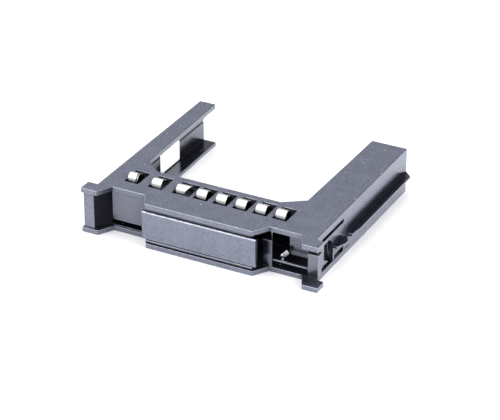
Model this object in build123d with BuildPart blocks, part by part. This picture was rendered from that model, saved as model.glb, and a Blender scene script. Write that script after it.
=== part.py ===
# Drive bay blank: an open U-shaped black plastic carrier frame that fills an empty drive slot.
# Sizes are in mm. Zero is midway across the bezel, halfway back, on the underside.
import os

from build123d import *

# Overall sizes.
bezel_width = 77.0
depth = 67.0
height = 14.6
plate_thickness = 1.5
flange_thickness = 1.2
wall_thickness = 1.2

# Steps from the bezel's ends in to the two side walls.
left_step = 3.25
right_step = 2.45

# Crossbar and arms, measured on the top plate.
crossbar_depth = 19.25
left_arm_root = 6.1
left_arm_tip = 5.4
right_arm_root = 12.2
right_arm_tip = 11.6
gusset_along = 4.5
left_gusset_across = 5.7
right_gusset_across = 6.5

# Corner caps and the two pockets beside the grip.
cap_width = 5.2
corner_width = 4.8
cap_depth = 4.2
pocket_depth = 4.8
pocket_slant = 2.75
right_slant_inner = 3.1
right_slant_outer = 2.4
wall_setback = 0.4
post_margin = 0.6
post_right_margin = 1.2
slot_lip = 0.35
slot_height = 1.75

# Grip in the middle of the bezel.
grip_shift = 0.45
grip_width = 34.9
face_overhang = 1.1
face_drop = 2.65
face_height = 8.9
face_thickness = 1.2
face_edge_radius = 0.4
groove_depth = 0.8
core_inset = 0.9
lip_rib_gap = 0.3
lip_rib_thickness = 0.5

# Openings and small walls in the right pocket.
block_width = 3.0
block_gap = 1.0
block_height = 8.6
bar_height = 2.5
bar_thickness = 0.45
right_post_width = 2.75
right_post_depth = 2.5
right_post_height = 7.5
right_post_proud = 0.35
liner_depth = 9.5
liner_reach = 8.1
liner_height = 8.7

# Spring fingers and the windows they stand in.
finger_count = 6
finger_pitch = 6.45
last_finger_inset = 14.55
second_finger = 19.2
first_finger = 11.3
finger_width = 3.1
wide_finger_width = 4.3
finger_side_gap = 0.75
finger_shift = 0.1
finger_rise = 1.2
finger_clearance = 1.3
metal_thickness = 0.2
window_front = 9.6
window_length = 7.5
strip_margin = 1.3

# Slanted tab at the strip's right end, seen in the open pocket.
tab_leg_width = 1.0
tab_leg_shift = 0.3
tab_gap = 0.4
tab_reach = 5.9
tab_base = 3.9
tab_width = 1.1
tab_drop = 0.8
tab_lean = 2.0
tab_rise = 2.45
neck_base = 2.6
neck_width = 0.8

# Guide rails on the side walls.
rail_out = 2.45
rail_top = 6.85
rail_edge = 0.6
rail_root = 1.3
rail_start = 24.3
rail_lead = 4.4
rail_lead_in = 0.6

# Springy bridge in the right wall between two long slots, with its catch.
bridge_start = 8.15
bridge_end = 22.4
bridge_root = 0.8
upper_slot_height = 1.2
upper_slot_drop = 0.6
lower_slot_height = 1.65
short_slot_height = 0.35
short_slot_length = 3.2
catch_start = 15.4
catch_step = 1.2
catch_slope = 3.0
catch_flat = 1.9
opening_start = 9.45
opening_length = 6.0
opening_drop = 1.2
opening_cut = 2.4
leg_width = 0.85
leg_clearance = 0.25

# Wall that closes the crossbar towards the drive space, with a round end behind the bridge.
end_radius = 1.3
end_inset = 3.1

# Inner groove and paper label on the left web.
web_groove_drop = 6.6
web_groove_width = 0.5
web_groove_depth = 0.4
label_start = 38.9
label_length = 12.0
label_top = 8.6
label_bottom = 1.6
label_thickness = 0.1

# Places worked out from the sizes above.
front = -depth / 2
rear = depth / 2
left_end = -bezel_width / 2
right_end = bezel_width / 2
left_wall = left_end + left_step
right_wall = right_end - right_step
crossbar_rear = front + crossbar_depth
pocket_line = front + pocket_depth
wall_line = pocket_line + wall_setback
grip_left = grip_shift - grip_width / 2
grip_right = grip_shift + grip_width / 2
corner_left = right_end - corner_width
plate_bottom = height - plate_thickness
slot_floor = plate_thickness + slot_lip
bar_top = plate_thickness + bar_height
post_left = right_wall - right_post_width
face_bottom = height - face_drop - face_height
rail_front = front + rail_start
bridge_rear = front + bridge_end
finger_right = right_wall - last_finger_inset


def plan_outline():
    """Outline that the top plate and the bottom plate share."""
    with BuildSketch() as outline:
        with BuildLine():
            Polyline(
                (left_end, front),
                (left_end + cap_width, front),
                (left_end + cap_width + pocket_slant, pocket_line),
                (grip_left - pocket_slant, pocket_line),
                (grip_left, front),
                (grip_right, front),
                (grip_right + right_slant_inner, pocket_line),
                (corner_left - right_slant_outer, pocket_line),
                (corner_left, front),
                (right_end, front),
                (right_end, front + cap_depth),
                (right_wall, front + cap_depth),
                (right_wall, rear),
                (right_wall - right_arm_tip, rear),
                (right_wall - right_arm_root, crossbar_rear + gusset_along),
                (right_wall - right_arm_root - right_gusset_across, crossbar_rear),
                (left_wall + left_arm_root + left_gusset_across, crossbar_rear),
                (left_wall + left_arm_root, crossbar_rear + gusset_along),
                (left_wall + left_arm_tip, rear),
                (left_wall, rear),
                (left_wall, front + cap_depth),
                (left_end, front + cap_depth),
                close=True,
            )
        make_face()
    return outline.sketch


def wall_outline():
    """Outer face of the walls between the plates, as one closed line around the body."""
    with BuildSketch() as outline:
        with BuildLine():
            Polyline(
                (left_end + post_margin, front + wall_setback),
                (left_end + cap_width - post_right_margin, front + wall_setback),
                (left_end + cap_width + pocket_slant - wall_setback, wall_line),
                (grip_left - core_inset, wall_line),
                (grip_left + core_inset, front + groove_depth),
                (grip_right - core_inset, front + groove_depth),
                (grip_right + core_inset, wall_line),
                (right_wall, wall_line),
                (right_wall, rear),
                (left_wall, rear),
                (left_wall, front + cap_depth - wall_setback),
                (left_end + post_margin, front + cap_depth - wall_setback),
                close=True,
            )
        make_face()
    return outline.sketch


def hollow_outline():
    """Space inside the walls: the hollow crossbar with the grip, and all of the drive space behind it."""
    sideways = 0.6 * wall_thickness
    hollow_front = wall_line + wall_thickness
    grip_front = front + groove_depth + wall_thickness
    with BuildSketch() as outline:
        with BuildLine():
            Polyline(
                (left_wall + wall_thickness, front + cap_depth),
                (left_end + cap_width + pocket_slant - wall_setback - sideways, hollow_front),
                (grip_left - core_inset + sideways, hollow_front),
                (grip_left + core_inset + sideways, grip_front),
                (grip_right - core_inset - sideways, grip_front),
                (grip_right + core_inset - sideways, hollow_front),
                (right_wall - wall_thickness, hollow_front),
                (right_wall - wall_thickness, rear + wall_thickness),
                (left_wall + wall_thickness, rear + wall_thickness),
                close=True,
            )
        make_face()
    return outline.sketch


def fill(x_from, x_to, y_from, y_to, z_from, z_to, mode=Mode.ADD):
    """Plain block between two corners."""
    with Locations(((x_from + x_to) / 2, (y_from + y_to) / 2, (z_from + z_to) / 2)):
        Box(x_to - x_from, y_to - y_from, z_to - z_from, mode=mode)


def guide_rail(wall, side):
    """Rail with a flat top and a sloping underside; side is 1 on the right wall and -1 on the left."""
    tip = wall + side * rail_out
    with BuildSketch(Plane.XZ.offset(-rail_front)) as profile:
        with BuildLine():
            Polyline(
                (wall - side * wall_thickness / 2, rail_top),
                (tip, rail_top),
                (tip, rail_top - rail_edge),
                (wall, rail_top - rail_root),
                (wall - side * wall_thickness / 2, rail_top - rail_root),
                close=True,
            )
        make_face()
    extrude(profile.sketch, amount=rail_front - rear)
    # Long lead-in at the front and a corner cut at 45 degrees at the rear.
    with BuildSketch(Plane.XY.offset(rail_top - rail_root)) as ends:
        with BuildLine():
            Polyline(
                (tip - side * rail_lead_in, rail_front),
                (tip, rail_front + rail_lead),
                (tip + side, rail_front + rail_lead),
                (tip + side, rail_front),
                close=True,
            )
        make_face()
        with BuildLine():
            Polyline(
                (tip, rear - rail_out),
                (tip + side, rear - rail_out),
                (tip + side, rear),
                (wall, rear),
                close=True,
            )
        make_face()
    extrude(ends.sketch, amount=rail_root, mode=Mode.SUBTRACT)


def finger_places():
    """Middle of each spring finger across the bezel, with its width, from left to right."""
    places = [(left_end + first_finger, finger_width), (left_end + second_finger, finger_width)]
    for index in reversed(range(finger_count)):
        width = wide_finger_width if index == finger_count - 1 else finger_width
        places.append((finger_right - index * finger_pitch, width))
    return places


# Frame: one plastic moulding.
with BuildPart() as frame:
    # Top plate, with a window for each spring finger.
    with BuildSketch(Plane.XY.offset(plate_bottom)):
        add(plan_outline())
        for middle, width in finger_places():
            with Locations((middle + finger_shift, front + window_front + window_length / 2)):
                Rectangle(width + 2 * finger_side_gap, window_length, mode=Mode.SUBTRACT)
    extrude(amount=plate_thickness)

    # Bottom plate, thicker along the front edge than along the arms.
    with BuildSketch():
        add(plan_outline())
    extrude(amount=flange_thickness)
    with BuildSketch():
        add(plan_outline())
        with Locations((0, pocket_line + wall_thickness)):
            Rectangle(bezel_width, 2 * (pocket_depth + wall_thickness), mode=Mode.INTERSECT)
    extrude(amount=plate_thickness)

    # Side walls, left post, pocket wall and grip core between the plates, open towards the drive space.
    with BuildSketch(Plane.XY.offset(flange_thickness / 2)):
        add(wall_outline())
        add(hollow_outline(), mode=Mode.SUBTRACT)
    extrude(amount=height - plate_thickness / 2 - flange_thickness / 2)

    # Slot under the left pocket wall, the open front of the right pocket and the open end of the grip.
    fill(
        left_end + cap_width + pocket_slant - wall_thickness / 2,
        grip_left - core_inset,
        pocket_line,
        wall_line + 1.5 * wall_thickness,
        slot_floor,
        slot_floor + slot_height,
        Mode.SUBTRACT,
    )
    fill(
        grip_right - core_inset - wall_thickness,
        grip_right + core_inset,
        front + groove_depth + wall_thickness,
        wall_line + 1.5 * wall_thickness,
        plate_thickness,
        plate_bottom,
        Mode.SUBTRACT,
    )
    fill(
        grip_right + core_inset,
        post_left,
        pocket_line,
        wall_line + 1.5 * wall_thickness,
        plate_thickness,
        plate_bottom,
        Mode.SUBTRACT,
    )

    # Right post, flush with the pocket's edge, standing a little proud of the side wall.
    fill(
        post_left,
        right_wall + right_post_proud,
        pocket_line,
        pocket_line + right_post_depth,
        flange_thickness,
        plate_thickness + right_post_height,
    )

    # Block and thin bar standing in the open pocket.
    block_left = grip_right + block_gap
    fill(
        block_left,
        block_left + block_width,
        pocket_line,
        pocket_line + wall_thickness,
        flange_thickness,
        plate_thickness + block_height,
    )
    fill(
        block_left,
        post_left + wall_thickness / 2,
        wall_line,
        pocket_line + wall_thickness,
        bar_top - bar_thickness,
        bar_top,
    )

    # Wall that closes the crossbar towards the drive space.
    end_middle = crossbar_rear - wall_setback - wall_thickness / 2
    end_right = right_wall - end_inset
    fill(
        left_wall + wall_thickness / 2,
        end_right,
        end_middle - wall_thickness / 2,
        end_middle + wall_thickness / 2,
        flange_thickness / 2,
        plate_bottom + plate_thickness / 2,
    )
    with BuildSketch(Plane.XY.offset(flange_thickness / 2)):
        with Locations((end_right, end_middle)):
            Circle(end_radius)
    extrude(amount=plate_bottom)

    # Short cross wall inside the right end of the crossbar, hanging from the top plate.
    fill(
        post_left - liner_reach,
        right_wall - wall_thickness / 2,
        front + liner_depth,
        front + liner_depth + wall_thickness,
        plate_bottom - liner_height,
        plate_bottom + plate_thickness / 2,
    )

    # Face plate of the grip, its top edge rounded, and the thin rib above the lower lip.
    with BuildSketch(Plane.YZ.offset(grip_left - face_overhang)) as face_profile:
        with Locations((front + face_thickness / 2, face_bottom + face_height / 2)):
            Rectangle(face_thickness, face_height)
        top_corners = face_profile.vertices().group_by(Axis.Y)[-1]
        fillet(top_corners.sort_by(Axis.X)[0], radius=face_edge_radius)
    extrude(amount=grip_width + 2 * face_overhang)
    fill(
        grip_left,
        grip_right,
        front,
        front + groove_depth + wall_thickness / 2,
        face_bottom - lip_rib_gap - lip_rib_thickness,
        face_bottom - lip_rib_gap,
    )

    guide_rail(right_wall, 1)
    guide_rail(left_wall, -1)

    # Catch on the bridge: a wedge in plan, as thin as the rail that it lines up with.
    slope_front = front + catch_start
    slope_rear = slope_front + catch_slope
    with BuildSketch(Plane.XY.offset(rail_top - rail_edge)):
        with BuildLine():
            Polyline(
                (right_wall - wall_thickness / 2, slope_front),
                (right_wall + catch_step, slope_front),
                (right_wall + rail_out, slope_rear),
                (right_wall + rail_out, slope_rear + catch_flat),
                (right_wall + catch_step, bridge_rear),
                (right_wall - wall_thickness / 2, bridge_rear),
                close=True,
            )
        make_face()
    extrude(amount=rail_edge)

    # Slots above and below the bridge, and a short thin one behind its root.
    bridge_front = front + bridge_start
    bridge_top = plate_bottom - upper_slot_drop
    bridge_low = slot_floor + lower_slot_height
    cut_from = right_wall - 1.5 * wall_thickness
    cut_to = right_wall + wall_thickness / 2
    short_slot_front = bridge_rear + bridge_root
    short_slot_rear = short_slot_front + short_slot_length
    fill(cut_from, cut_to, bridge_front, bridge_rear, bridge_top - upper_slot_height, bridge_top, Mode.SUBTRACT)
    fill(cut_from, cut_to, bridge_front, bridge_rear, slot_floor, bridge_low, Mode.SUBTRACT)
    fill(
        cut_from,
        cut_to,
        short_slot_front,
        short_slot_rear,
        slot_floor,
        slot_floor + short_slot_height,
        Mode.SUBTRACT,
    )

    # Opening through the bridge, cut back at two corners, which runs down into the lower slot.
    opening_top = bridge_top - upper_slot_height - opening_drop
    opening_front = front + opening_start
    opening_rear = opening_front + opening_length
    with BuildSketch(Plane.YZ.offset(cut_from)):
        with BuildLine():
            Polyline(
                (opening_front, opening_top),
                (opening_rear - opening_cut, opening_top),
                (opening_rear, opening_top - opening_cut),
                (opening_rear, slot_floor),
                (opening_front + 1.2 * opening_cut, slot_floor),
                (opening_front + 1.2 * opening_cut, bridge_low),
                (opening_front, bridge_low + 0.7 * opening_cut),
                close=True,
            )
        make_face()
    extrude(amount=cut_to - cut_from, mode=Mode.SUBTRACT)

    # Leg of the bridge behind the opening, clear of the wall below.
    fill(
        right_wall - wall_thickness,
        right_wall,
        opening_rear,
        opening_rear + leg_width,
        slot_floor + leg_clearance,
        bridge_low + wall_thickness / 2,
    )

    # Shallow groove along the inner face of the left web.
    web_face = left_wall + wall_thickness
    fill(
        web_face - web_groove_depth,
        web_face,
        crossbar_rear,
        rear,
        height - web_groove_drop - web_groove_width,
        height - web_groove_drop,
        Mode.SUBTRACT,
    )
frame.part.label = "frame"

# Spring strip: thin sheet metal under the top plate, with a finger arching out of each window.
with BuildPart() as spring_strip:
    strip_top = plate_bottom
    strip_front = front + window_front + window_length - strip_margin
    strip_rear = end_middle - wall_thickness / 2
    first_middle, first_width = finger_places()[0]
    fill(
        first_middle - first_width / 2,
        finger_right + finger_width / 2,
        strip_front,
        strip_rear,
        strip_top - metal_thickness,
        strip_top,
    )
    arch_rear = strip_front + metal_thickness
    arch_front = front + window_front + finger_clearance
    for middle, width in finger_places():
        with BuildSketch(Plane.YZ.offset(middle - width / 2)):
            with BuildLine():
                ThreePointArc(
                    (arch_rear, strip_top - metal_thickness / 2),
                    ((arch_rear + arch_front) / 2, height + finger_rise - metal_thickness / 2),
                    (arch_front, height - plate_thickness / 2),
                )
            trace(line_width=metal_thickness)
        extrude(amount=width)

    # Narrow arm forward between the last two windows, a leg down, a low neck and the slanted tab.
    leg_middle = finger_right + finger_shift - finger_pitch / 2 - tab_leg_shift
    leg_front = wall_line + wall_thickness + tab_gap
    leg_rear = leg_front + metal_thickness
    leg_left = leg_middle - tab_leg_width / 2
    leg_right = leg_middle + tab_leg_width / 2
    tab_foot = leg_right + tab_reach
    fill(leg_left, leg_right, leg_front, strip_rear, strip_top - metal_thickness, strip_top)
    fill(leg_left, leg_right, leg_front, leg_rear, neck_base, strip_top)
    fill(leg_left, tab_foot, leg_front, leg_rear, neck_base, neck_base + neck_width)
    fill(tab_foot - neck_width, tab_foot, leg_front, leg_rear, neck_base, tab_base + tab_drop)
    with BuildSketch(Plane.XZ.offset(-leg_rear)):
        with BuildLine():
            Polyline(
                (tab_foot, tab_base),
                (tab_foot - tab_width, tab_base + tab_drop),
                (tab_foot - tab_width + tab_lean, tab_base + tab_drop + tab_rise),
                (tab_foot + tab_lean, tab_base + tab_rise),
                close=True,
            )
        make_face()
    extrude(amount=metal_thickness)
spring_strip.part.label = "spring_strip"

# Label: a plain paper rectangle on the inner face of the left web.
with BuildPart() as label:
    fill(
        web_face,
        web_face + label_thickness,
        front + label_start,
        front + label_start + label_length,
        label_bottom,
        label_top,
    )
label.part.label = "label"

os.makedirs("parts", exist_ok=True)
export_step(frame.part, "parts/frame.step")
export_step(spring_strip.part, "parts/spring_strip.step")
export_step(label.part, "parts/label.step")
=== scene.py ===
# Drive bay blank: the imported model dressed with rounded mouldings, sprung metal and studio light.
# The scene is in metres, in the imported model's frame. The new meshes are drawn in millimetres.
import math

import bmesh
import bpy
from mathutils import Euler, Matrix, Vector


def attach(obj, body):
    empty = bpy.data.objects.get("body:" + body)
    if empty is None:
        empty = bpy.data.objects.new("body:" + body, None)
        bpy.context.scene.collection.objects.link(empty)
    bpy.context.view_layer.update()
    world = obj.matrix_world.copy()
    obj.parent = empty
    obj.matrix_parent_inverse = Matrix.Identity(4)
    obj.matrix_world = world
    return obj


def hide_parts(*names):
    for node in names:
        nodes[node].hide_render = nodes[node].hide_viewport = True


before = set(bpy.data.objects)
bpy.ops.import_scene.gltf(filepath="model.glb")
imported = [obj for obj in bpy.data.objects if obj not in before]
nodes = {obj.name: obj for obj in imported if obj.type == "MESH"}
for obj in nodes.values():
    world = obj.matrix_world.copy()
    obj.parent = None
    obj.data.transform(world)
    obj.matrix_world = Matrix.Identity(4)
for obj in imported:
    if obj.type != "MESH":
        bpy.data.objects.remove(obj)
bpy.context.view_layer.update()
scene = bpy.context.scene
MM = 0.001
WHITE = (1.0, 1.0, 1.0, 1.0)


# Node helpers.
def feed(tree, target, source):
    """Wires an output socket into an input, or sets the input to a plain value."""
    if isinstance(source, bpy.types.NodeSocket):
        tree.links.new(source, target)
    else:
        target.default_value = source


def place(tree, kind, inputs=None, **settings):
    """Adds one shader node, sets its own properties and feeds its inputs."""
    node = tree.nodes.new(kind)
    for key, value in settings.items():
        setattr(node, key, value)
    for key, source in (inputs or {}).items():
        feed(tree, node.inputs[key], source)
    return node


def compute(tree, operation, *values, clamp=False):
    """Result of a Math node."""
    inputs = dict(enumerate(values))
    node = place(tree, "ShaderNodeMath", inputs, operation=operation, use_clamp=clamp)
    return node.outputs["Value"]


def times(tree, first, second, clamp=False):
    """Product of two values."""
    return compute(tree, "MULTIPLY", first, second, clamp=clamp)


def remap(tree, value, source_range, target_range=(0.0, 1.0), curve="LINEAR"):
    """Value carried from one range to another and held at its ends."""
    inputs = {
        "Value": value,
        "From Min": source_range[0],
        "From Max": source_range[1],
        "To Min": target_range[0],
        "To Max": target_range[1],
    }
    node = place(tree, "ShaderNodeMapRange", inputs, interpolation_type=curve)
    return node.outputs["Result"]


def blend(tree, factor, first, second, kind="RGBA"):
    """Mix of two colours, or of two values with kind FLOAT."""
    inputs = {"Factor": factor, "A": first, "B": second}
    return place(tree, "ShaderNodeMix", inputs, data_type=kind).outputs["Result"]


def height_of(tree, vector):
    """Z part of a vector."""
    return place(tree, "ShaderNodeSeparateXYZ", {"Vector": vector}).outputs["Z"]


def blank_material(name):
    """Material with a Principled shader wired to its output."""
    material = bpy.data.materials.new(name)
    material.use_nodes = True
    tree = material.node_tree
    tree.nodes.clear()
    shader = place(tree, "ShaderNodeBsdfPrincipled")
    place(tree, "ShaderNodeOutputMaterial", {"Surface": shader.outputs["BSDF"]})
    return material, tree, shader


# Shader groups shared by the materials.
def shader_group(name, inputs, outputs):
    """Empty group with its sockets, and its input and output nodes."""
    group = bpy.data.node_groups.new(name, "ShaderNodeTree")
    for way, sockets in (("INPUT", inputs), ("OUTPUT", outputs)):
        for socket, kind in sockets.items():
            group.interface.new_socket(socket, in_out=way, socket_type="NodeSocket" + kind)
    return group, place(group, "NodeGroupInput").outputs, place(group, "NodeGroupOutput").inputs


def edge_light_mask_group():
    """Masks of the convex edges between a top and a front face, and a top and a right face: a
    painted highlight and a painted dark line of shade.
    """
    inputs = {"Width": "Float", "Amount": "Float"}
    outputs = {"Front": "Float", "Right": "Float"}
    group, start, end = shader_group("painted edge light", inputs, outputs)
    bevel = place(group, "ShaderNodeBevel", {"Radius": start["Width"]}, samples=8)
    axes = place(group, "ShaderNodeSeparateXYZ", {"Vector": bevel.outputs["Normal"]}).outputs
    settings = {"samples": 6, "only_local": True}
    shelter = place(group, "ShaderNodeAmbientOcclusion", {"Distance": 0.6 * MM}, **settings)
    outside = remap(group, shelter.outputs["AO"], (0.7, 0.9))
    coords = place(group, "ShaderNodeTexCoord").outputs["Object"]
    noise = place(group, "ShaderNodeTexNoise", {"Vector": coords, "Scale": 900.0, "Detail": 4.0})
    patchy = remap(group, noise.outputs["Fac"], (0.35, 0.6), (0.5, 1.0))
    convex = times(group, outside, patchy)
    # The Front mask carries a painted highlight line, the Right mask a painted dark line of shade.
    # On a rounded edge both parts of the normal differ from 0, so their product marks it.
    for name, axis, sign in (("Front", "Y", -1.0), ("Right", "X", 1.0)):
        both = times(group, axes[axis], axes["Z"])
        spread = remap(group, both, (0.05 * sign, 0.32 * sign), curve="SMOOTHSTEP")
        shown = times(group, spread, convex)
        feed(group, end[name], times(group, shown, start["Amount"], clamp=True))
    return group


def grain_group():
    """Fine surface grain: a height for bump, and a slow cloud for tone and gloss."""
    inputs = {"Scale": "Float", "Stretch": "Vector"}
    outputs = {"Height": "Float", "Cloud": "Float"}
    group, start, end = shader_group("surface grain", inputs, outputs)
    coords = place(group, "ShaderNodeTexCoord").outputs["Object"]
    stretch = place(
        group, "ShaderNodeVectorMath", {0: coords, 1: start["Stretch"]}, operation="MULTIPLY")
    fine = place(group, "ShaderNodeTexNoise", {
        "Vector": stretch.outputs["Vector"],
        "Scale": start["Scale"],
        "Detail": 3.0,
        "Roughness": 0.6,
    })
    slow = place(group, "ShaderNodeTexNoise", {"Vector": coords, "Scale": 260.0, "Detail": 5.0})
    feed(group, end["Height"], fine.outputs["Fac"])
    feed(group, end["Cloud"], slow.outputs["Fac"])
    return group


def dust_group():
    """Mask of a few small pale specks lying on faces that look up."""
    inputs = {"Scale": "Float", "Amount": "Float"}
    group, start, end = shader_group("dust specks", inputs, {"Mask": "Float"})
    coords = place(group, "ShaderNodeTexCoord").outputs["Object"]
    cells = place(group, "ShaderNodeTexVoronoi", {"Vector": coords, "Scale": start["Scale"]})
    spot = remap(group, cells.outputs["Distance"], (0.1, 0.05))
    parts = place(group, "ShaderNodeSeparateColor", {"Color": cells.outputs["Color"]})
    rare = compute(group, "GREATER_THAN", parts.outputs["Red"], 0.7)
    normal = place(group, "ShaderNodeNewGeometry").outputs["Normal"]
    upward = compute(group, "GREATER_THAN", height_of(group, normal), 0.8)
    specks = times(group, times(group, spot, rare), upward)
    feed(group, end["Mask"], times(group, specks, start["Amount"], clamp=True))
    return group


def open_face_group(name, alone):
    """Occlusion mask, used to place painted shade and highlight: 1 on open faces, 0 in recesses, of
    the piece alone or among its neighbours.
    """
    inputs = {"Reach": "Float", "Closed": "Float", "Open": "Float"}
    group, start, end = shader_group(name, inputs, {"Mask": "Float"})
    settings = {"samples": 10, "only_local": alone}
    shelter = place(group, "ShaderNodeAmbientOcclusion", {"Distance": start["Reach"]}, **settings)
    limits = (start["Closed"], start["Open"])
    feed(group, end["Mask"], remap(group, shelter.outputs["AO"], limits, curve="SMOOTHSTEP"))
    return group


edge_light_masks = edge_light_mask_group()
surface_grain = grain_group()
dust_specks = dust_group()
open_faces = open_face_group("open faces", True)
open_sheet = open_face_group("open sheet", False)


# Materials.
def add_group(tree, group, **values):
    """Places a shared group in a material with its own values and gives its outputs."""
    return place(tree, "ShaderNodeGroup", values, node_tree=group).outputs


def add_bump(tree, shader, height, strength, distance):
    """Lets a height bend a shader's normals."""
    inputs = {"Height": height, "Strength": strength, "Distance": distance}
    feed(tree, shader.inputs["Normal"], place(tree, "ShaderNodeBump", inputs).outputs["Normal"])


def moulded_black_plastic(name, shine, low, high):
    """Black moulding: slate grain on open faces; smooth in recesses, with painted black shade;
    painted highlight and shade lines on edges.
    """
    # Painted shade: recesses and crevices get this near-black tone in place of the grain.
    painted_shade_tone = (0.005, 0.005, 0.008, 1.0)
    # Painted light on edges: a near-black painted line of shade on right edges, a pale painted
    # highlight on front edges.
    painted_right_edge_shade = (0.006, 0.006, 0.01, 1.0)
    painted_front_edge_highlight = (0.62, 0.64, 0.76, 1.0)
    dust_tone = (0.75, 0.76, 0.8, 1.0)
    speckle_share = 0.6
    recess_roughness = 0.2
    corner_roughness = 0.8
    material, tree, shader = blank_material(name)
    shader.inputs["IOR"].default_value = 1.7
    shader.inputs["Specular IOR Level"].default_value = shine
    shader.inputs["Specular Tint"].default_value = (0.79, 0.84, 1.0, 1.0)
    grain = add_group(tree, surface_grain, Scale=3000.0, Stretch=(1.0, 1.0, 1.0))
    # Edge masks for the painted highlight on front edges and the painted dark line of shade on
    # right edges.
    front_edge = add_group(tree, edge_light_masks, Width=0.22 * MM, Amount=1.0)["Front"]
    right_edge = add_group(tree, edge_light_masks, Width=0.6 * MM, Amount=1.0)["Right"]
    dust = add_group(tree, dust_specks, Scale=420.0, Amount=0.75)["Mask"]
    # Occlusion masks: the first and the crevice mask place the painted shade, lit keeps the painted
    # front edge highlight to unoccluded faces.
    unshaded = add_group(tree, open_faces, Reach=16.0 * MM, Closed=0.8, Open=0.97)["Mask"]
    lit = add_group(tree, open_faces, Reach=16.0 * MM, Closed=0.4, Open=0.62)["Mask"]
    crevice = add_group(tree, open_faces, Reach=1.3 * MM, Closed=0.4, Open=0.75)["Mask"]
    # Tone: mottled grain, painted black shade where sheltered, then a painted dark line of shade on
    # right edges, a painted highlight on lit front edges, and dust.
    speckle = remap(tree, grain["Height"], (0.38, 0.62))
    mottle = blend(tree, speckle_share, grain["Cloud"], speckle, "FLOAT")
    tone = blend(tree, mottle, low, high)
    tone = blend(tree, times(tree, unshaded, crevice), painted_shade_tone, tone)
    tone = blend(tree, right_edge, tone, painted_right_edge_shade)
    tone = blend(tree, times(tree, front_edge, lit), tone, painted_front_edge_highlight)
    tone = blend(tree, dust, tone, dust_tone)
    feed(tree, shader.inputs["Base Color"], tone)
    # Gloss: satin on open faces, smoother in recesses, dull in the narrowest corners.
    satin = remap(tree, grain["Cloud"], (0.3, 0.7), (0.17, 0.29))
    gloss = blend(tree, unshaded, recess_roughness, satin, "FLOAT")
    gloss = blend(tree, crevice, corner_roughness, gloss, "FLOAT")
    feed(tree, shader.inputs["Roughness"], gloss)
    add_bump(tree, shader, grain["Height"], 0.3, 0.05 * MM)
    return material


def rolled_spring_metal():
    """Bright rolled metal with fine lines along the roll, with painted shade, near-black, where it
    lies inside the frame.
    """
    material, tree, shader = blank_material("rolled spring metal")
    shader.inputs["Metallic"].default_value = 1.0
    lines = add_group(tree, surface_grain, Scale=900.0, Stretch=(8.0, 0.6, 8.0))
    unshaded = add_group(tree, open_sheet, Reach=6.0 * MM, Closed=0.35, Open=0.68)["Mask"]
    bright = blend(tree, lines["Cloud"], (0.8, 0.805, 0.815, 1.0), (0.94, 0.945, 0.955, 1.0))
    # Painted shade: the metal goes near-black where the frame closes round it.
    shaded = blend(tree, unshaded, (0.05, 0.05, 0.055, 1.0), bright)
    feed(tree, shader.inputs["Base Color"], shaded)
    feed(tree, shader.inputs["Roughness"], remap(tree, lines["Height"], (0.0, 1.0), (0.1, 0.22)))
    add_bump(tree, shader, lines["Height"], 0.08, 0.02 * MM)
    return material


def white_label_paper():
    """Matt white paper with a faint fibre."""
    material, tree, shader = blank_material("white label paper")
    shader.inputs["Specular IOR Level"].default_value = 0.3
    fibre = add_group(tree, surface_grain, Scale=2500.0, Stretch=(1.0, 1.0, 1.0))["Height"]
    tint = blend(tree, fibre, (0.9, 0.9, 0.91, 1.0), (0.98, 0.98, 0.98, 1.0))
    feed(tree, shader.inputs["Base Color"], tint)
    feed(tree, shader.inputs["Roughness"], remap(tree, fibre, (0.0, 1.0), (0.65, 0.85)))
    add_bump(tree, shader, fibre, 0.1, 0.03 * MM)
    return material


plastic = moulded_black_plastic(
    "moulded black plastic",
    shine=1.0,
    low=(0.022, 0.024, 0.04, 1.0),
    high=(0.135, 0.147, 0.198, 1.0),
)
# Copy of the same plastic with painted shade: near-black tones and little gloss, for walls that lie
# in shade.
shaded_plastic_copy = moulded_black_plastic(
    "black plastic with painted shade",
    shine=0.05,
    low=(0.004, 0.004, 0.007, 1.0),
    high=(0.012, 0.012, 0.02, 1.0),
)
metal = rolled_spring_metal()
paper = white_label_paper()


# Pieces.
def link(name, mesh):
    """Puts a mesh into the scene under a name."""
    piece = bpy.data.objects.new(name, mesh)
    scene.collection.objects.link(piece)
    return piece


def finish_piece(piece, node, material):
    """Gives a piece its material, hangs it on the root body and hides the imported part it stands
    in for.
    """
    piece.data.materials.clear()
    piece.data.materials.append(material)
    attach(piece, "root")
    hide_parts(node)


def rounded_copy(node, name):
    """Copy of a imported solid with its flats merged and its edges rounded."""
    weld_distance = 1e-7
    flat_angle = 0.02
    mesh = node.data.copy()
    mesh.name = name
    work = bmesh.new()
    work.from_mesh(mesh)
    bmesh.ops.remove_doubles(work, verts=work.verts, dist=weld_distance)
    bmesh.ops.dissolve_limit(work, angle_limit=flat_angle, verts=work.verts, edges=work.edges)
    work.to_mesh(mesh)
    work.free()
    piece = link(name, mesh)
    bevel = piece.modifiers.new("edge rounding", "BEVEL")
    bevel.width = 0.11 * MM
    bevel.segments = 2
    bevel.limit_method = "ANGLE"
    bevel.angle_limit = 0.6
    return piece


def within(point, box):
    """Whether a point lies in a box given by a (low, high) pair for each axis."""
    return all(low < value < high for value, (low, high) in zip(point, box))


def darken_shaded_walls(mesh, material):
    """Gives the left pocket's slanted wall and the wall above the right post the copy with painted
    shade: a deeper black with little gloss.
    """
    slant_normal = Vector((0.868, -0.497, 0.0))
    nearly_parallel = 0.97
    slant_box = ((-40.0, -28.0), (-40.0, 40.0), (1.4, 13.2))
    gap_box = ((33.0, 36.8), (-29.0, -26.0), (8.9, 11.3))
    mesh.materials.append(material)
    for face in mesh.polygons:
        centre = face.center / MM
        slanted = face.normal.dot(slant_normal) > nearly_parallel
        if (slanted and within(centre, slant_box)) or within(centre, gap_box):
            face.material_index = 1


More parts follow.
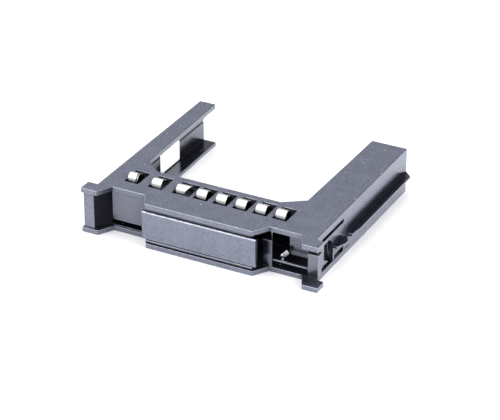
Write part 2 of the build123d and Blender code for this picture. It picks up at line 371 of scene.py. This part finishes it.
moulding = rounded_copy(nodes["frame"], "moulded_frame")
finish_piece(moulding, "frame", plastic)
darken_shaded_walls(moulding.data, shaded_plastic_copy)


# Mesh helpers: all their lengths are in millimetres.
def vertex(work, x, y, z):
    """Vertex at a point given in millimetres."""
    return work.verts.new((x * MM, y * MM, z * MM))


def join_rings(work, first, second):
    """Faces between two closed rings of vertices."""
    for i in range(len(first)):
        n = (i + 1) % len(first)
        work.faces.new((first[i], first[n], second[n], second[i]))


def mesh_piece(name, work):
    """Turns a finished mesh into a piece of the scene."""
    mesh = bpy.data.meshes.new(name)
    work.to_mesh(mesh)
    work.free()
    return link(name, mesh)


def smooth_path(points, steps):
    """Smooth curve through (y, z) points, with the given steps between each two."""
    last = len(points) - 1
    path = []
    for i in range(last):
        four = [points[min(max(i + k, 0), last)] for k in (-1, 0, 1, 2)]
        for step in range(steps):
            t = step / steps
            weights = (
                (-t + 2 * t ** 2 - t ** 3) / 2.0,
                (2 - 5 * t ** 2 + 3 * t ** 3) / 2.0,
                (t + 4 * t ** 2 - 3 * t ** 3) / 2.0,
                (t ** 3 - t ** 2) / 2.0,
            )
            y = sum(weight * point[0] for weight, point in zip(weights, four))
            z = sum(weight * point[1] for weight, point in zip(weights, four))
            path.append((y, z))
    path.append(points[last])
    return path


def straight_sides(path, width):
    """The same reach to the left and right at every point of a path."""
    return [(-width / 2.0, width / 2.0)] * len(path)


def add_ribbon(work, x_middle, path, sides, crown=0.0):
    """Sheet-metal ribbon along a (y, z) path; sides holds its left and right reach there."""
    thickness = 0.2
    edge_width = 0.07
    rings = []
    for i, (y, z) in enumerate(path):
        left, right = sides[i]
        middle, half = (right + left) / 2.0, (right - left) / 2.0
        edge = min(edge_width, half / 3.0)
        y0, z0 = path[max(i - 1, 0)]
        y1, z1 = path[min(i + 1, len(path) - 1)]
        run = math.hypot(y1 - y0, z1 - z0)
        normal_y, normal_z = (z1 - z0) / run, -(y1 - y0) / run
        # Places across the ribbon, with the share of the thickness that its sides lose there.
        across = [(-half, 0.45), (edge - half, 0.12), (3.0 * edge - half, 0.0), (-0.4 * half, 0.0)]
        across += [(0.0, 0.0)] + [(-x, drop) for x, drop in reversed(across)]
        ring = []
        for side, row in ((1.0, across), (-1.0, across[::-1])):
            for x, drop in row:
                lift = side * thickness * (0.5 - drop) + crown * (1.0 - (x / half) ** 2)
                point = (x_middle + middle + x, y + normal_y * lift, z + normal_z * lift)
                ring.append(vertex(work, *point))
        rings.append(ring)
    for first, second in zip(rings, rings[1:]):
        join_rings(work, first, second)
    work.faces.new(rings[0][::-1])
    work.faces.new(rings[-1])


def add_plate(work, outline, y_front, y_rear):
    """Flat sheet piece given by an (x, z) outline."""
    near = [vertex(work, x, y_front, z) for x, z in outline]
    far = [vertex(work, x, y_rear, z) for x, z in outline]
    work.faces.new(near)
    work.faces.new(far[::-1])
    join_rings(work, far, near)


def add_ridges(work, corner, along, across):
    """Small ridged sheet: its ridges run along one side and follow each other across."""
    rows = 8
    ridge = 0.07
    thickness = 0.15
    normal = along.cross(across).normalized()
    front = []
    back = []
    for i in range(rows + 1):
        start = corner + across * (i / rows) + normal * (ridge if i % 2 else -ridge)
        behind = start - normal * thickness
        front.append([vertex(work, *start), vertex(work, *(start + along))])
        back.append([vertex(work, *behind), vertex(work, *(behind + along))])
    for i in range(rows):
        work.faces.new((front[i][0], front[i][1], front[i + 1][1], front[i + 1][0]))
        work.faces.new((back[i][0], back[i + 1][0], back[i + 1][1], back[i][1]))
        for k in (0, 1):
            work.faces.new((front[i][k], front[i + 1][k], back[i + 1][k], back[i][k]))
    for i in (0, rows):
        work.faces.new((front[i][0], front[i][1], back[i][1], back[i][0]))


def wide_finger_sides(arch):
    """Reach of the wide finger: cut back behind on the right, and narrower at its front end."""
    left, cut_back, right, front_loss = -2.2, 0.95, 2.25, 1.35
    cut_end, slant_start = 0.42, 0.62
    y_rear, length = -17.5, 4.9
    sides = []
    for y, _ in arch:
        forward = (y_rear - y) / length
        reach = cut_back if forward < cut_end else right
        if forward > slant_start:
            reach = right - (forward - slant_start) / (1.0 - slant_start) * front_loss
        sides.append((left, reach))
    return sides


def spring_fingers():
    """Spring strip: a band under the plate, eight arched fingers, and the leg with its tab."""
    work = bmesh.new()
    finger_width = 3.4
    crown = 0.03
    second, wide, fourth, pitch = -19.65, -10.9, -4.65, 6.45
    # (y, z) points of a finger, from the band up to its top and down to its front end.
    ramp = [(-16.3, 13.0), (-16.9, 13.1), (-18.1, 14.35), (-19.2, 15.45), (-20.2, 15.97)]
    tip = [(-21.2, 15.75), (-21.95, 15.1), (-22.4, 14.1)]
    arch = smooth_path(ramp + tip, 5)
    for middle in [second] + [fourth + pitch * i for i in range(5)]:
        add_ribbon(work, middle, arch, straight_sides(arch, finger_width), crown)
    add_ribbon(work, wide, arch, wide_finger_sides(arch), crown)
    # The first finger is split near its right side.
    add_ribbon(work, -27.9, arch, straight_sides(arch, 2.8), crown)
    add_ribbon(work, -26.12, arch, straight_sides(arch, 0.42))
    # Behind the fingers runs the band. An arm goes forward from it between two windows and
    # across, and a leg hangs down from the arm to the tab.
    band = [(-15.86, 13.0), (-16.4, 13.0), (-17.0, 13.0)]
    arm = [(-16.9, 13.0), (-21.0, 13.0), (-25.9, 13.0)]
    cross = [(-25.1, 12.98), (-25.5, 12.98), (-25.9, 12.98)]
    hook = [(-25.7, 12.96), (-25.95, 12.92), (-26.13, 12.8), (-26.22, 12.6)]
    hook += [(-26.25, 12.45), (-26.25, 12.3)]
    leg = [(-26.25, 12.45), (-26.25, 8.0), (-26.25, 4.2), (-26.6, 3.3), (-26.6, 2.65)]
    strips = ((-2.85, band, 51.7), (18.075, arm, 1.0), (19.45, cross, 3.5))
    strips += ((20.95, hook, 0.5), (20.45, leg, 0.6))
    for middle, path, width in strips:
        add_ribbon(work, middle, path, straight_sides(path, width))
    neck = [(20.15, 2.6), (24.475, 2.6), (24.475, 3.9), (25.0, 4.55), (24.15, 5.6)]
    neck += [(23.4, 4.7), (24.1, 4.15), (24.1, 3.4), (20.15, 3.4)]
    add_plate(work, neck, -26.7, -26.5)
    tab_corner = Vector((24.15, -26.6, 5.6))
    tab_along = Vector((0.85, 0.0, -1.05))
    tab_across = Vector((1.05, 0.9, 1.1))
    add_ridges(work, tab_corner, tab_along, tab_across)
    bmesh.ops.recalc_face_normals(work, faces=work.faces)
    fingers = mesh_piece("spring_fingers", work)
    fingers.data.shade_smooth()
    fingers.data.set_sharp_from_angle(angle=0.9)
    return fingers


finish_piece(spring_fingers(), "spring_strip", metal)


def label_sheet(node):
    """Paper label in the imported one's place: thin sheet with rounded corners and a soft rim."""
    corner = 0.5
    corner_steps = 4
    rim_depth = 0.02
    rim_scale = 0.994
    points = [node.matrix_world @ v.co / MM for v in node.data.vertices]
    low = [min(point[i] for point in points) for i in range(3)]
    high = [max(point[i] for point in points) for i in range(3)]
    middle_y, middle_z = (low[1] + high[1]) / 2.0, (low[2] + high[2]) / 2.0
    reach_y, reach_z = (high[1] - low[1]) / 2.0 - corner, (high[2] - low[2]) / 2.0 - corner
    outline = []
    for quarter, (side_y, side_z) in enumerate(((1, 1), (-1, 1), (-1, -1), (1, -1))):
        for k in range(corner_steps + 1):
            angle = (quarter + k / corner_steps) * math.pi / 2.0
            y = side_y * reach_y + corner * math.cos(angle)
            z = side_z * reach_z + corner * math.sin(angle)
            outline.append((y, z))
    work = bmesh.new()
    rings = []
    for x, scale in ((low[0], 1.0), (high[0] - rim_depth, 1.0), (high[0], rim_scale)):
        places = [(middle_y + y * scale, middle_z + z * scale) for y, z in outline]
        rings.append([vertex(work, x, y, z) for y, z in places])
    back, rim, front = rings
    work.faces.new(front)
    work.faces.new(back[::-1])
    join_rings(work, back, rim)
    join_rings(work, rim, front)
    bmesh.ops.recalc_face_normals(work, faces=work.faces)
    return mesh_piece("paper_label", work)


finish_piece(label_sheet(nodes["label"]), "label", paper)


# Studio.
def floor_paint():
    """Matt white paint that is lifted to the picture's white, and is clear from below."""
    material, tree, shader = blank_material("white floor")
    surface = shader.outputs["BSDF"].links[0].to_socket
    shader.inputs["Roughness"].default_value = 0.9
    shader.inputs["Specular IOR Level"].default_value = 0.0
    coords = place(tree, "ShaderNodeTexCoord").outputs["Object"]
    fleck = place(tree, "ShaderNodeTexNoise", {"Vector": coords, "Scale": 40.0})
    tint = blend(tree, fleck.outputs["Fac"], (0.77, 0.77, 0.78, 1.0), (0.79, 0.79, 0.8, 1.0))
    feed(tree, shader.inputs["Base Color"], tint)
    # The lift grows with the distance from the part, so that the shadow near it stays.
    ray = place(tree, "ShaderNodeLightPath").outputs
    distance = place(tree, "ShaderNodeVectorMath", {0: coords}, operation="LENGTH")
    outer = remap(tree, distance.outputs["Value"], (60.0 * MM, 350.0 * MM), (0.12, 0.8))
    mirrored = times(tree, ray["Is Glossy Ray"], 0.3)
    seen = compute(tree, "MULTIPLY_ADD", ray["Is Camera Ray"], outer, mirrored)
    lift = place(tree, "ShaderNodeEmission", {"Color": WHITE, "Strength": seen})
    inputs = {0: shader.outputs["BSDF"], 1: lift.outputs["Emission"]}
    lifted = place(tree, "ShaderNodeAddShader", inputs).outputs["Shader"]
    clear = place(tree, "ShaderNodeBsdfTransparent").outputs["BSDF"]
    below = place(tree, "ShaderNodeNewGeometry").outputs["Backfacing"]
    inputs = {"Fac": below, 1: lifted, 2: clear}
    feed(tree, surface, place(tree, "ShaderNodeMixShader", inputs).outputs["Shader"])
    return material


def studio_floor():
    """Large white floor that shows the shadow, just under the part."""
    reach = 3.0
    gap = 0.02 * MM
    work = bmesh.new()
    bmesh.ops.create_grid(work, x_segments=1, y_segments=1, size=reach)
    floor = mesh_piece("floor", work)
    floor.location.z = -gap
    floor.data.materials.append(floor_paint())


def area_lamp(name, spot, power):
    """Soft square lamp aimed at the part, left out of mirror reflections so no face glares."""
    data = bpy.data.lights.new(name, "AREA")
    data.shape = "SQUARE"
    data.size = 0.9
    data.energy = power
    lamp = bpy.data.objects.new(name, data)
    lamp.location = spot
    lamp.rotation_euler = (-Vector(spot)).to_track_quat("-Z", "Y").to_euler()
    lamp.visible_glossy = False
    scene.collection.objects.link(lamp)


def set_greys(node, stops):
    """Sets a colour ramp's stops from (position, grey) pairs."""
    elements = node.color_ramp.elements
    while len(elements) < len(stops):
        elements.new(1.0)
    for element, (position, grey) in zip(elements, stops):
        element.position = position
        element.color = (grey, grey, grey, 1.0)


def studio_world():
    """Soft white surround, bright overhead and dim near the horizon, plain white to the camera."""
    world = bpy.data.worlds.new("studio")
    scene.world = world
    world.use_nodes = True
    tree = world.node_tree
    tree.nodes.clear()
    view = place(tree, "ShaderNodeTexCoord").outputs["Generated"]
    height = place(tree, "ShaderNodeValToRGB", {"Fac": height_of(tree, view)})
    low_greys = [(0.0, 0.1), (0.12, 0.16), (0.32, 0.4)]
    high_greys = [(0.5, 0.66), (0.66, 1.2), (1.0, 1.3)]
    set_greys(height, low_greys + high_greys)
    # The surround is brighter in front on the left, and goes out behind on the right.
    front_left = (-0.62, -0.55, 0.0)
    side = place(tree, "ShaderNodeVectorMath", {0: view, 1: front_left}, operation="DOT_PRODUCT")
    bias = remap(tree, side.outputs["Value"], (-0.8, 0.8), (0.0, 1.9))
    level = times(tree, height.outputs["Color"], bias)
    camera_ray = place(tree, "ShaderNodeLightPath").outputs["Is Camera Ray"]
    shown = blend(tree, camera_ray, level, 1.0, "FLOAT")
    background = place(tree, "ShaderNodeBackground", {"Color": WHITE, "Strength": shown})
    place(tree, "ShaderNodeOutputWorld", {"Surface": background.outputs["Background"]})


def photo_camera():
    """Camera at the photograph's angle, distance and lens."""
    data = bpy.data.cameras.new("camera")
    data.sensor_fit = "HORIZONTAL"
    data.sensor_width = 36.0
    data.lens = 157.65
    data.clip_start = 0.01
    data.clip_end = 20.0
    camera = bpy.data.objects.new("camera", data)
    camera.location = (0.265594, -0.511429, 0.318133)
    camera.rotation_euler = Euler((1.067176, -0.001057, 0.479738))
    scene.collection.objects.link(camera)
    scene.camera = camera


studio_floor()
studio_world()
area_lamp("top softbox", (0.05, 0.1, 0.9), 2.0)
area_lamp("front left softbox", (-0.55, -0.9, 0.5), 8.0)
area_lamp("right softbox", (1.0, 0.1, 0.45), 17.0)
photo_camera()
scene.view_settings.view_transform = "Standard"
